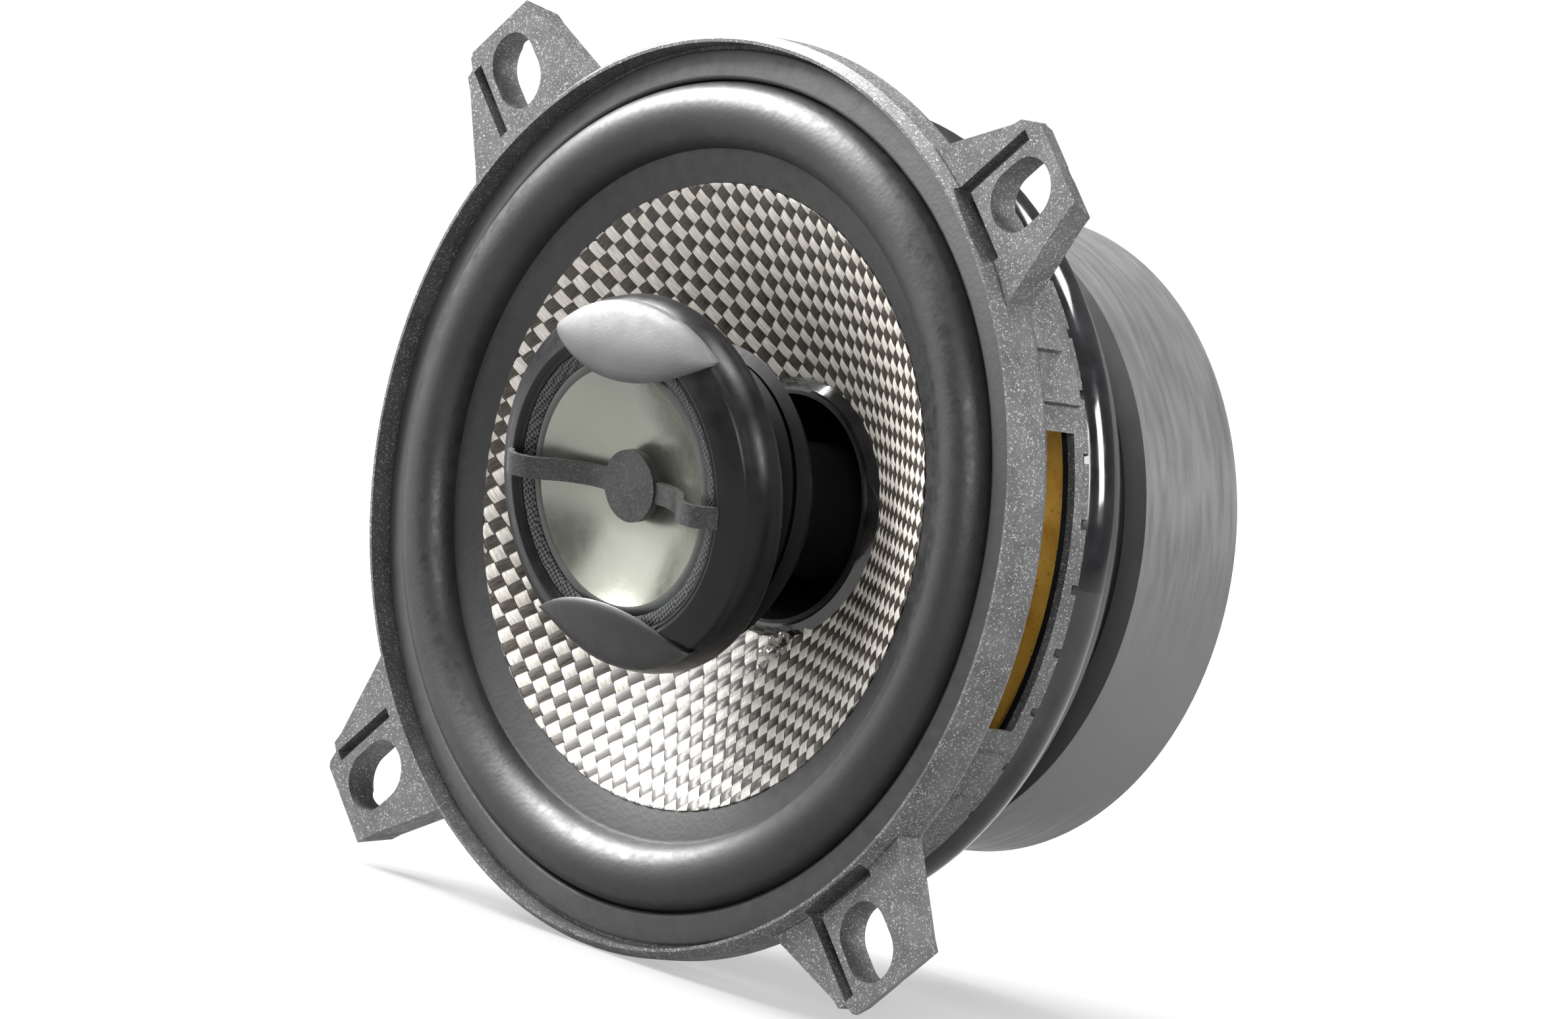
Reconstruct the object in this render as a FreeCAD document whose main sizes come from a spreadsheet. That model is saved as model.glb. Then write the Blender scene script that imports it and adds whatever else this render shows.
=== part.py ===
"""Coaxial car speaker: woofer with a swivelling tweeter carried on its pole.

Frame: origin at the middle of the mounting plane (the rear faces of the four ears),
speaker axis along Y with the front towards -Y, +Z up. Millimetres.
"""
import FreeCAD
import Part
import Sketcher
import math
import os
import re

V = FreeCAD.Vector

# ---------------------------------------------------------------- driving sizes
SIZES = {
    # flange and rim
    "rim_radius": 51.0,
    "rim_inner": 49.85,
    "rim_front": -5.2,
    "rim_bevel_y": -4.0,
    "flange_edge": 0.6,
    "ledge_y": -2.2,
    "ledge_inner": 45.0,
    # ears
    "ear_front": 3.8,
    "ear_tip": 63.7,
    "ear_tip_rear": 62.0,
    "ear_root": 50.4,
    "slot_circle": 57.6,
    "slot_length": 9.1,
    "slot_width": 6.9,
    # skirt behind the flange
    "spigot_radius": 47.0,
    "spigot_length": 3.2,
    "skirt_radius": 45.2,
    "skirt_inner": 44.2,
    "skirt_rear": 12.4,
    "pad_step": 0.85,
    "window_front": 4.0,
    "window_rear": 10.2,
    "window_half": 16.4,
    # rear chassis pan
    "pan_top": 10.2,
    "pan_wall": 1.5,
    "pan_lip": 43.4,
    "pan_inner": 43.0,
    "pan_bead": 45.7,
    "pan_bottom": 26.2,
    "pan_seat": 20.6,
    "pan_hole": 14.6,
    # woofer motor
    "plate_radius": 33.0,
    "gap_outer": 14.0,
    "plate_rear": 31.2,
    "magnet_radius": 36.24,
    "magnet_bore": 17.5,
    "magnet_rear": 46.0,
    "yoke_radius": 31.2,
    "yoke_rear": 50.5,
    "pole_radius": 12.15,
    "cup_floor": 45.0,
    "cup_radius": 6.5,
    # moving assembly of the woofer
    "former_inner": 12.6,
    "former_outer": 13.0,
    "former_front": 10.8,
    "former_rear": 33.0,
    "coil_outer": 13.45,
    "coil_front": 24.7,
    "coil_rear": 32.7,
    "cone_edge": 34.3,
    "cone_front": -1.7,
    "cone_neck": 14.0,
    "cone_neck_y": 12.2,
    "cone_mid": 24.2,
    "cone_mid_y": 4.8,
    "cone_thick": 0.8,
    "spider_outer": 39.2,
    "spider_y": 14.8,
    "spider_thick": 0.6,
    "gasket_outer": 49.3,
    "gasket_inner": 45.9,
    "gasket_front": -3.7,
    "gasket_thick": 1.0,
    # tweeter swivel: every sphere is centred on the pivot
    "pivot_y": -13.56,
    "tweeter_tilt": 10.3,
    "ball_inner": 16.0,
    "ball_outer": 17.4,
    "liner_inner": 17.7,
    "liner_outer": 19.0,
    "socket_inner": 19.3,
    "socket_outer": 20.7,
    "washer_inner": 14.3,
    "washer_outer": 15.7,
    "ball_open": 30.0,
    "liner_open": 27.0,
    "liner_half": 58.0,
    "socket_half": 56.0,
    "washer_half": 42.0,
    "boss_radius": 8.5,
    "boss_rear": 8.0,
    "post_radius": 7.5,
    "post_foot": 11.5,
    "wire_circle": 4.2,
    "wire_hole": 0.8,
    "wire_radius": 0.45,
    "bolt_radius": 1.5,
    "bolt_bore": 1.8,
    # tweeter, in its own tilted frame (y runs to the rear)
    "bezel_radius": 20.8,
    "bezel_rear": 5.0,
    "bezel_bore": 15.2,
    "mesh_outer": 15.6,
    "mesh_inner": 14.15,
    "ring_outer": 14.1,
    "ring_inner": 13.1,
    "dome_depth": 3.4,
    "dome_thick": 0.35,
    "voice_inner": 9.9,
    "voice_outer": 10.3,
    "disc_radius": 4.0,
    "strap_half": 1.2,
    "visor_edge": 12.3,
}

doc = FreeCAD.newDocument("CoaxialSpeaker")
sheet = doc.addObject("Spreadsheet::Sheet", "Sizes")
for row, (alias, number) in enumerate(SIZES.items(), start=1):
    sheet.set("A%d" % row, alias)
    sheet.set("B%d" % row, str(number))
    sheet.setAlias("B%d" % row, alias)
doc.recompute()

TERM = re.compile(r"([+-]?)(?:(\d+\.?\d*)\*)?([a-z_]+|\d+\.?\d*)")


def number(text):
    """Value of a sum such as "rim_radius-2*pan_wall+0.5"."""
    total = 0.0
    for sign, factor, name in TERM.findall(str(text).replace(" ", "")):
        value = SIZES[name] if name in SIZES else float(name)
        value *= float(factor) if factor else 1.0
        total += -value if sign == "-" else value
    return total


def bound(text):
    """The same sum as a document expression on the sheet's cells."""
    return re.sub(r"([a-z_]{3,})", r"Sizes.\1", str(text))


# ---------------------------------------------------------------- building blocks
PARTS = []
TERMINAL_ANGLE = -100.0
EYELETS = (-124.0, -76.0)


def new_body(label, tilted=False):
    body = doc.addObject("PartDesign::Body", label)
    body.Label = label
    if tilted:
        turn = FreeCAD.Rotation(V(1, 0, 0), SIZES["tweeter_tilt"])
        body.Placement = FreeCAD.Placement(V(0, SIZES["pivot_y"], 0), turn)
    PARTS.append(body)
    return body


def plane_of(body, role):
    return [o for o in body.Origin.OriginFeatures if o.Role == role][0]


def new_sketch(body, name, role="XY_Plane", offset=0.0, turn=0.0, about=(0, 0, 1)):
    sketch = body.newObject("Sketcher::SketchObject", name)
    sketch.AttachmentSupport = [(plane_of(body, role), "")]
    sketch.MapMode = "FlatFace"
    spin = FreeCAD.Rotation(V(*about), turn)
    sketch.AttachmentOffset = FreeCAD.Placement(V(0, 0, number(offset)), spin)
    return sketch


def pin_point(sketch, geo, pos, x, y):
    """Ties one vertex to the sheet, or to an axis where a coordinate is zero."""
    for kind, text, axis in (("DistanceX", x, -2), ("DistanceY", y, -1)):
        value = number(text)
        if abs(value) < 1e-9:
            sketch.addConstraint(Sketcher.Constraint("PointOnObject", geo, pos, axis))
            continue
        index = sketch.addConstraint(Sketcher.Constraint(kind, -1, 1, geo, pos, value))
        if re.search("[a-z]", str(text)):
            sketch.setExpression("Constraints[%d]" % index, bound(text))


def outline(sketch, path):
    """Closed outline. Each step is (x, y) for a line or (x, y, xm, ym) for an arc
    that reaches (x, y) through (xm, ym)."""
    count = len(path)
    ends = []
    for i, step in enumerate(path):
        last = path[i - 1]
        start = V(number(last[0]), number(last[1]), 0)
        stop = V(number(step[0]), number(step[1]), 0)
        if len(step) == 2:
            geo = sketch.addGeometry(Part.LineSegment(start, stop))
            ends.append((geo, 1, 2))
            continue
        middle = V(number(step[2]), number(step[3]), 0)
        left_turn = (middle - start).cross(stop - start).z > 0
        first, final = (start, stop) if left_turn else (stop, start)
        geo = sketch.addGeometry(Part.Arc(first, middle, final))
        ends.append((geo, 1, 2) if left_turn else (geo, 2, 1))
    for i, (geo, head, tail) in enumerate(ends):
        nxt, nxt_head, _ = ends[(i + 1) % count]
        sketch.addConstraint(Sketcher.Constraint("Coincident", geo, tail, nxt, nxt_head))
        pin_point(sketch, geo, tail, path[i][0], path[i][1])
        if len(path[i]) == 4:
            dot = sketch.addGeometry(Part.Point(V(number(path[i][2]), number(path[i][3]), 0)))
            sketch.setConstruction(dot, True)
            pin_point(sketch, dot, 1, path[i][2], path[i][3])
            sketch.addConstraint(Sketcher.Constraint("PointOnObject", dot, 1, geo))


def circle(sketch, x, y, radius):
    geo = sketch.addGeometry(Part.Circle(V(number(x), number(y), 0), V(0, 0, 1), number(radius)))
    pin_point(sketch, geo, 3, x, y)
    index = sketch.addConstraint(Sketcher.Constraint("Radius", geo, number(radius)))
    if re.search("[a-z]", str(radius)):
        sketch.setExpression("Constraints[%d]" % index, bound(radius))


def revolved(body, name, path, angle=360.0, cut=False, turn=0.0):
    """Solid (or groove) of revolution about Y from a radius/depth outline."""
    sketch = new_sketch(body, name + "_outline", turn=turn, about=(0, 1, 0))
    outline(sketch, path)
    kind = "PartDesign::Groove" if cut else "PartDesign::Revolution"
    feature = body.newObject(kind, name)
    feature.Profile = sketch
    feature.ReferenceAxis = (sketch, ["V_Axis"])
    feature.Angle = angle
    feature.Midplane = angle < 360.0
    return feature


def raised(body, name, sketch, length, both=False):
    feature = body.newObject("PartDesign::Pad", name)
    feature.Profile = sketch
    feature.Length = number(length)
    if re.search("[a-z]", str(length)):
        feature.setExpression("Length", bound(length))
    feature.SideType = "Symmetric" if both else "One side"
    return feature


def cut_both(body, name, sketch, length):
    """Cut of the given length centred on the sketch plane."""
    feature = body.newObject("PartDesign::Pocket", name)
    feature.Profile = sketch
    feature.Length = number(length)
    feature.SideType = "Symmetric"
    return feature


def polar(body, name, feature, count):
    doc.recompute()
    pattern = body.newObject("PartDesign::PolarPattern", name)
    pattern.Originals = [feature]
    axis = [o for o in body.Origin.OriginFeatures if o.Role == "Y_Axis"][0]
    pattern.Axis = (axis, [""])
    pattern.Angle = 360.0
    pattern.Occurrences = count
    body.Tip = pattern
    return pattern


def removed_volume(body, before, name):
    """A cut that misses the solid shows no error, so its volume is compared."""
    doc.recompute()
    if before - body.Shape.Volume < 1e-3:
        raise RuntimeError("the cut %s removed nothing" % name)


def ring_path(inner, outer, front, rear):
    return [(inner, front), (outer, front), (outer, rear), (inner, rear)]


def on_sphere(radius, half_angle, centre="pivot_y"):
    """Point of a sphere about the pivot, half_angle from the rear direction."""
    reach = number(radius)
    side = reach * math.sin(math.radians(half_angle))
    depth = number(centre) + reach * math.cos(math.radians(half_angle))
    return round(side, 4), round(depth, 4)


def shell_path(inner, outer, start, stop, centre="pivot_y"):
    """Outline of a spherical shell between two half angles from the rear."""
    middle = 0.5 * (start + stop)
    return [
        on_sphere(outer, start, centre),
        on_sphere(outer, stop, centre) + on_sphere(outer, middle, centre),
        on_sphere(inner, stop, centre),
        on_sphere(inner, start, centre) + on_sphere(inner, middle, centre),
    ]


# ---------------------------------------------------------------- front basket
def ear_outline(side):
    """Ear in its own radial frame: x outwards, y sideways; side is the groove's side."""
    flip = "-" if side < 0 else ""
    back = "" if side < 0 else "-"
    return [
        ("ear_root-1.5", flip + "12.2", "ear_root", "0"),
        ("51.3", flip + "11.0"),
        ("60.2", flip + "7.3"),
        ("61.6", flip + "7.0"),
        ("61.9", flip + "5.9"),
        ("ear_tip-0.5", flip + "5.5"),
        ("ear_tip", flip + "4.9"),
        ("ear_tip", back + "5.2"),
        ("60.5", back + "5.9"),
        ("50.5", back + "9.1"),
        ("ear_root-1.0", back + "10.0"),
    ]


def slot_outline():
    """Oblong hole that lies along the ear."""
    half = "0.5*slot_width"
    reach = (SIZES["slot_length"] - SIZES["slot_width"]) / 2
    near = "slot_circle-%.2f" % reach
    far = "slot_circle+%.2f" % reach
    return [
        (near, "-" + half),
        (far, "-" + half),
        (far, half, far + "+" + half, "0"),
        (near, half),
        (near, "-" + half, near + "-" + half, "0"),
    ][1:]


def front_basket():
    body = new_body("front_basket")
    revolved(body, "flange", [
        ("ledge_inner", "ledge_y"),
        ("rim_inner", "ledge_y"),
        ("rim_inner", "rim_front"),
        ("rim_inner+0.35", "rim_front"),
        ("rim_radius", "rim_bevel_y"),
        ("rim_radius", "-flange_edge"),
        ("rim_radius-0.5*flange_edge", "0"),
        ("spigot_radius", "0"),
        ("spigot_radius", "spigot_length"),
        ("skirt_radius", "spigot_length+0.6"),
        ("skirt_radius", "skirt_rear"),
        ("skirt_inner", "skirt_rear"),
        ("skirt_inner", "2.5"),
        ("ledge_inner", "-0.5"),
    ])
    # Stepped pads on the four legs, two nested steps under each ear.
    for step, half, rear in ((1, 20.0, 10.9), (2, 13.0, 8.4)):
        path = [
            ("skirt_radius-0.5", "spigot_length-0.5"),
            ("skirt_radius+%d*pad_step" % step, "spigot_length-0.5"),
            ("skirt_radius+%d*pad_step" % step, str(rear)),
            ("skirt_radius-0.5", str(rear + 0.5)),
        ]
        pad = revolved(body, "leg_pad_%d" % step, path, angle=2 * half, turn=-45.0)
        polar(body, "leg_pads_%d" % step, pad, 4)
    # Ears, mirrored top to bottom: groove side up on the upper pair.
    for turn, side in ((45, 1), (135, 1), (225, -1), (315, -1)):
        sketch = new_sketch(body, "ear_%d_outline" % turn, "XZ_Plane", turn=turn)
        outline(sketch, ear_outline(side))
        raised(body, "ear_%d" % turn, sketch, "ear_front")
        slope = new_sketch(body, "tip_%d_outline" % turn, turn=-turn, about=(0, 1, 0))
        outline(slope, [
            ("ear_tip-0.02", "-ear_front-0.5"),
            ("ear_tip+3", "-ear_front-0.5"),
            ("ear_tip+3", "0.5"),
            ("ear_tip_rear-0.2", "0.5"),
            ("ear_tip_rear", "0"),
            ("ear_tip-0.02", "-ear_front"),
        ])
        cut_both(body, "tip_%d" % turn, slope, 30)
    # Oblong screw slots through the ears.
    doc.recompute()
    volume = body.Shape.Volume
    sketch = new_sketch(body, "slot_outline", "XZ_Plane", turn=45)
    outline(sketch, slot_outline())
    slot = cut_both(body, "slot", sketch, 20)
    polar(body, "slots", slot, 4)
    removed_volume(body, volume, "slots")
    # Narrow grooves cut into the ear faces beside the slots: an L on the right
    # pair, a single leg on the left pair.
    for turn, side in ((45, 1), (135, 1), (225, -1), (315, -1)):
        volume = body.Shape.Volume
        near = "" if side > 0 else "-"
        mark = new_sketch(body, "groove_%d_outline" % turn, "XZ_Plane", "ear_front", turn)
        inner = "51.7" if turn in (45, 315) else "52.4"
        if turn in (45, 315):
            outline(mark, [
                ("50.3", near + "5.8"),
                ("61.5", near + "5.8"),
                ("61.5", near + "4.4"),
                (inner, near + "4.4"),
                (inner, ("-" if side > 0 else "") + "4.0"),
                ("50.3", ("-" if side > 0 else "") + "4.0"),
            ])
        else:
            outline(mark, [
                (inner, near + "4.5"),
                ("61.6", near + "4.5"),
                ("61.6", near + "5.8"),
                (inner, near + "5.8"),
            ])
        cut_both(body, "groove_%d" % turn, mark, 3.6)
        removed_volume(body, volume, "groove_%d" % turn)
    # Windows between the legs.
    volume = body.Shape.Volume
    sketch = new_sketch(body, "window_outline", "YZ_Plane", "skirt_radius")
    outline(sketch, [
        ("window_front", "-window_half"),
        ("window_rear", "-window_half"),
        ("window_rear", "window_half"),
        ("window_front", "window_half"),
    ])
    window = cut_both(body, "window", sketch, 12)
    polar(body, "windows", window, 4)
    removed_volume(body, volume, "windows")
    # Small notches around the rear edge of the skirt, for the pan's tabs.
    volume = body.Shape.Volume
    sketch = new_sketch(body, "notch_outline", "YZ_Plane", "skirt_radius")
    outline(sketch, [
        ("skirt_rear-0.9", "-0.55"),
        ("skirt_rear+0.5", "-0.55"),
        ("skirt_rear+0.5", "0.55"),
        ("skirt_rear-0.9", "0.55"),
    ])
    notch = cut_both(body, "notch", sketch, 1.6)
    polar(body, "notches", notch, 40)
    removed_volume(body, volume, "notches")


# ---------------------------------------------------------------- woofer motor and frame
def rear_pan():
    body = new_body("rear_chassis_pan")
    revolved(body, "pan", [
        ("skirt_inner", "pan_top"),
        ("skirt_inner", "skirt_rear"),
        ("44.5", "skirt_rear"),
        ("44.5", "17.3", "pan_bead", "14.7"),
        ("34.0", "pan_bottom", "40.2", "22.6"),
        ("pan_hole", "pan_bottom"),
        ("pan_hole", "pan_bottom-pan_wall"),
        ("31.5", "pan_bottom-pan_wall"),
        ("34.2", "pan_seat"),
        ("39.5", "pan_seat"),
        ("pan_inner", "16.6"),
        ("pan_inner", "13.6"),
        ("pan_lip", "skirt_rear"),
        ("pan_lip", "pan_top"),
    ])
    sketch = new_sketch(body, "rivet_hole_outline", "XZ_Plane", "-pan_bottom")
    circle(sketch, "23.0", "0", "2.05")
    hole = cut_both(body, "rivet_hole", sketch, 8)
    polar(body, "rivet_holes", hole, 3)
    # Flat patch on the bead that keeps the terminal lugs clear of it.
    sketch = new_sketch(body, "lug_flat_outline", "XZ_Plane", "-16.2", turn=TERMINAL_ANGLE)
    outline(sketch, [("45.0", "-6.4"), ("48.0", "-6.4"), ("48.0", "6.4"), ("45.0", "6.4")])
    cut_both(body, "lug_flat", sketch, 7.6)


def spider_ring():
    body = new_body("spider_landing_ring")
    revolved(body, "ring", ring_path("34.8", "39.3", "15.5", "pan_seat"))
    sketch = new_sketch(body, "vent_outline", "YZ_Plane", "37.0", turn=0)
    outline(sketch, [("16.6", "-4.0"), ("19.4", "-4.0"), ("19.4", "4.0"), ("16.6", "4.0")])
    vent = cut_both(body, "vent", sketch, 8)
    polar(body, "vents", vent, 8)


def simple_ring(label, inner, outer, front, rear, tilted=False):
    body = new_body(label, tilted)
    revolved(body, "ring", ring_path(inner, outer, front, rear))
    return body


def front_plate():
    body = simple_ring("front_pole_plate", "gap_outer", "plate_radius", "pan_bottom", "plate_rear")
    sketch = new_sketch(body, "rivet_hole_outline", "XZ_Plane", "-pan_bottom")
    circle(sketch, "23.0", "0", "2.05")
    hole = cut_both(body, "rivet_hole", sketch, 20)
    polar(body, "rivet_holes", hole, 3)


def chassis_rivets():
    body = new_body("chassis_rivets")
    sketch = new_sketch(body, "shank_outline", "XZ_Plane", "-plate_rear")
    circle(sketch, "23.0", "0", "2.0")
    shank = raised(body, "shank", sketch, "plate_rear-pan_bottom+pan_wall")
    sketch = new_sketch(body, "head_outline", "XZ_Plane", "-pan_bottom+pan_wall")
    circle(sketch, "23.0", "0", "3.4")
    head = raised(body, "head", sketch, "1.3")
    doc.recompute()
    pattern = body.newObject("PartDesign::PolarPattern", "three")
    pattern.Originals = [shank, head]
    axis = [o for o in body.Origin.OriginFeatures if o.Role == "Y_Axis"][0]
    pattern.Axis = (axis, [""])
    pattern.Angle = 360.0
    pattern.Occurrences = 3
    body.Tip = pattern


def back_yoke():
    body = new_body("back_plate_and_pole")
    revolved(body, "tee", [
        ("bolt_bore", "pan_bottom"),
        ("pole_radius-0.4", "pan_bottom"),
        ("pole_radius", "pan_bottom+0.4"),
        ("pole_radius", "magnet_rear"),
        ("yoke_radius-1", "magnet_rear"),
        ("yoke_radius", "magnet_rear+1"),
        ("yoke_radius", "yoke_rear-1"),
        ("yoke_radius-1", "yoke_rear"),
        ("cup_radius", "yoke_rear"),
        ("cup_radius", "cup_floor"),
        ("bolt_bore", "cup_floor"),
    ])
    wire_holes(body, "XZ_Plane", 130)
    # Radial channel for the tweeter wires across the back face.
    sketch = new_sketch(body, "channel_outline", "XZ_Plane", "-yoke_rear", turn=TERMINAL_ANGLE)
    outline(sketch, [("2", "-2.4"), ("40", "-2.4"), ("40", "2.4"), ("2", "2.4")])
    cut_both(body, "channel", sketch, 5.0)


def wire_holes(body, role, length):
    """Two small bores beside the centre bore, for the tweeter wires."""
    sketch = new_sketch(body, "wire_hole_outline", role)
    circle(sketch, "wire_circle", "0", "wire_hole")
    circle(sketch, "-wire_circle", "0", "wire_hole")
    return cut_both(body, "wire_bores", sketch, length)


# ---------------------------------------------------------------- woofer moving assembly
def cone():
    body = new_body("woven_cone")
    revolved(body, "cone", [
        ("37.8", "cone_front"),
        ("cone_edge", "cone_front"),
        ("cone_neck", "cone_neck_y", "cone_mid", "cone_mid_y"),
        ("former_outer", "cone_neck_y"),
        ("former_outer", "cone_neck_y+1.6"),
        ("cone_neck+0.2", "cone_neck_y+1.2"),
        ("cone_edge-0.1", "cone_front+cone_thick", "cone_mid-0.2", "cone_mid_y+1.1"),
        ("37.8", "cone_front+cone_thick"),
    ])


def surround():
    body = new_body("rubber_surround")
    revolved(body, "roll", [
        ("gasket_outer", "-2.7"),
        ("gasket_outer", "-2.3"),
        ("45.5", "-2.3"),
        ("38.5", "-2.0", "42.0", "-5.9"),
        ("cone_edge+0.1", "-1.85"),
        ("cone_edge+0.1", "-2.25"),
        ("38.1", "-2.45"),
        ("gasket_inner", "-2.7", "42.0", "-6.4"),
    ])


def spider():
    """Corrugated disc: rolls of equal width between the collar and the flat rim."""
    body = new_body("spider")
    rolls = 7
    first, last = 16.0, 34.6
    pitch = (last - first) / rolls
    level = "spider_y"
    front = []
    rear = []
    for i in range(rolls):
        swing = "+0.9" if i % 2 else "-0.9"
        x0 = first + i * pitch
        x1 = x0 + pitch
        front.append(("%.3f" % x1, level, "%.3f" % (x0 + pitch / 2), level + swing))
        rear.append((x0, x1, swing))
    path = [("former_outer+0.12", level)]
    path.append(("%.3f" % first, level))
    path += front
    path.append(("spider_outer", level))
    path.append(("spider_outer", level + "+spider_thick"))
    path.append(("%.3f" % last, level + "+spider_thick"))
    for x0, x1, swing in reversed(rear):
        middle = "%.3f" % (0.5 * (x0 + x1))
        path.append(("%.3f" % x0, level + "+spider_thick", middle, level + swing + "+spider_thick"))
    path.append(("former_outer+0.12", level + "+spider_thick"))
    revolved(body, "disc", path)


# ---------------------------------------------------------------- tweeter mount
def socket():
    body = new_body("tweeter_socket")
    lip_in = on_sphere("socket_inner", SIZES["socket_half"])
    lip_out = on_sphere("socket_outer", SIZES["socket_half"])
    foot = math.degrees(math.asin(SIZES["boss_radius"] / SIZES["socket_outer"]))
    floor = math.degrees(math.asin(SIZES["bolt_bore"] / SIZES["socket_inner"]))
    arc_out = on_sphere("socket_outer", 0.5 * (foot + SIZES["socket_half"]))
    arc_in = on_sphere("socket_inner", 0.5 * (floor + SIZES["socket_half"]))
    revolved(body, "cup", [
        lip_in,
        lip_out,
        on_sphere("socket_outer", foot) + arc_out,
        ("boss_radius", "boss_rear"),
        ("bolt_bore", "boss_rear"),
        on_sphere("socket_inner", floor),
        lip_in + arc_in,
    ][1:])
    wire_holes(body, "XZ_Plane", 60)


def post():
    body = new_body("tweeter_post")
    revolved(body, "post", [
        ("bolt_bore", "boss_rear"),
        ("post_radius", "boss_rear"),
        ("post_radius", "pan_bottom-4"),
        ("post_foot", "pan_bottom-2.2"),
        ("post_foot", "pan_bottom"),
        ("bolt_bore", "pan_bottom"),
    ])
    wire_holes(body, "XZ_Plane", 80)


def liner():
    body = new_body("swivel_liner")
    revolved(body, "liner", shell_path("liner_inner", "liner_outer",
                                       SIZES["liner_open"], SIZES["liner_half"]))


def clamp_washer():
    body = new_body("swivel_clamp_washer")
    start = math.degrees(math.asin(1.7 / SIZES["washer_outer"]))
    revolved(body, "washer", shell_path("washer_inner", "washer_outer",
                                        start, SIZES["washer_half"]))
    wire_holes(body, "XZ_Plane", 40)


def centre_bolt():
    body = new_body("centre_bolt")
    head = "pivot_y+washer_inner-0.3"
    revolved(body, "bolt", [
        ("0", head + "-1.8"),
        ("2.4", head + "-1.8"),
        ("2.8", head + "-1.4"),
        ("2.8", head),
        ("bolt_radius", head),
        ("bolt_radius", "cup_floor+3.0"),
        ("0", "cup_floor+3.0"),
    ])


def centre_nut():
    body = new_body("centre_nut")
    sketch = new_sketch(body, "hexagon_outline", "XZ_Plane", "-cup_floor-2.4")
    reach = 3.0
    corners = [60 * k for k in range(6)]
    outline(sketch, [
        ("%.3f" % (reach * math.cos(math.radians(a))), "%.3f" % (reach * math.sin(math.radians(a))))
        for a in corners
    ])
    circle(sketch, "0", "0", "bolt_radius")
    raised(body, "nut", sketch, "2.4")


# ---------------------------------------------------------------- tweeter capsule
def bezel():
    body = new_body("tweeter_bezel", tilted=True)
    revolved(body, "bezel", [
        ("bezel_bore", "bezel_rear"),
        ("bezel_radius-0.5", "bezel_rear"),
        ("bezel_radius", "3.6", "bezel_radius-0.05", "4.5"),
        ("bezel_radius-0.86", "0.5", "bezel_radius-0.2", "1.9"),
        ("16.95", "-1.35", "18.7", "-0.66"),
        ("16.5", "-1.3"),
        ("mesh_outer+0.1", "-0.95"),
        ("mesh_outer+0.1", "-0.3"),
        ("bezel_bore", "-0.3"),
    ])


def ball():
    body = new_body("tweeter_ball_housing", tilted=True)
    start = SIZES["ball_open"]
    stop_out = math.degrees(math.acos(SIZES["bezel_rear"] / SIZES["ball_outer"]))
    stop_in = math.degrees(math.acos(SIZES["bezel_rear"] / SIZES["ball_inner"]))
    revolved(body, "ball", [
        on_sphere("ball_outer", start, "0"),
        on_sphere("ball_outer", stop_out, "0")
        + on_sphere("ball_outer", 0.5 * (start + stop_out), "0"),
        on_sphere("ball_inner", stop_in, "0"),
        on_sphere("ball_inner", start, "0")
        + on_sphere("ball_inner", 0.5 * (start + stop_in), "0"),
    ])


def visor(label, side):
    """Lens-shaped hood over one end of the tweeter opening."""
    body = new_body(label, tilted=True)
    revolved(body, "hood", [
        ("17.0", "-1.45"),
        ("20.1", "0.45", "18.8", "-0.76"),
        ("20.4", "0.3"),
        ("14.8", "-3.5", "18.4", "-2.5"),
        ("11.6", "-3.3"),
        ("11.6", "-2.8"),
        ("14.6", "-2.95"),
        ("16.7", "-2.1"),
    ])
    sketch = new_sketch(body, "edge_outline", "XZ_Plane")
    near = "-" if side < 0 else ""
    far = "" if side < 0 else "-"
    outline(sketch, [
        ("-25", far + "25"),
        ("25", far + "25"),
        ("25", near + "visor_edge" + near_sum(side, "4.6")),
        ("14", near + "visor_edge" + near_sum(side, "4.6")),
        ("-14", near + "visor_edge" + near_sum(side, "4.6"), "0", near + "visor_edge"),
        ("-25", near + "visor_edge" + near_sum(side, "4.6")),
    ])
    cut_both(body, "edge", sketch, 50)


def near_sum(side, text):
    return ("-" if side < 0 else "+") + text


def bridge():
    """Bowed strap across the tweeter opening, with the small disc at its middle."""
    body = new_body("phase_bridge", tilted=True)
    sketch = new_sketch(body, "strap_outline")
    right = [
        ("4.5", "1.15"),
        ("10.2", "-1.3", "7.9", "0.35"),
        ("13.9", "-3.35", "11.7", "-2.7"),
        ("17.0", "-1.4", "16.0", "-2.8"),
        ("16.3", "-1.4"),
        ("13.9", "-2.7", "15.4", "-2.25"),
        ("10.8", "-0.85", "12.25", "-2.1"),
        ("4.5", "1.85", "8.35", "0.95"),
    ]
    left = [
        ("-4.5", "1.85"),
        ("-10.8", "-0.85", "-8.35", "0.95"),
        ("-13.9", "-2.7", "-12.25", "-2.1"),
        ("-16.3", "-1.4", "-15.4", "-2.25"),
        ("-17.0", "-1.4"),
        ("-13.9", "-3.35", "-16.0", "-2.8"),
        ("-10.2", "-1.3", "-11.7", "-2.7"),
        ("-4.5", "1.15", "-7.9", "0.35"),
    ]
    outline(sketch, right + left)
    raised(body, "strap", sketch, "2*strap_half", both=True)
    disc = new_sketch(body, "disc_outline", "XZ_Plane", "-1.9")
    circle(disc, "0", "0", "disc_radius")
    raised(body, "disc", disc, "1.0")


def tweeter_suspension():
    body = new_body("tweeter_mesh_suspension", tilted=True)
    revolved(body, "annulus", [
        ("mesh_outer", "-0.85"),
        ("mesh_outer", "-0.5"),
        ("mesh_inner", "-0.12"),
        ("mesh_inner", "-0.4"),
    ])


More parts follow.
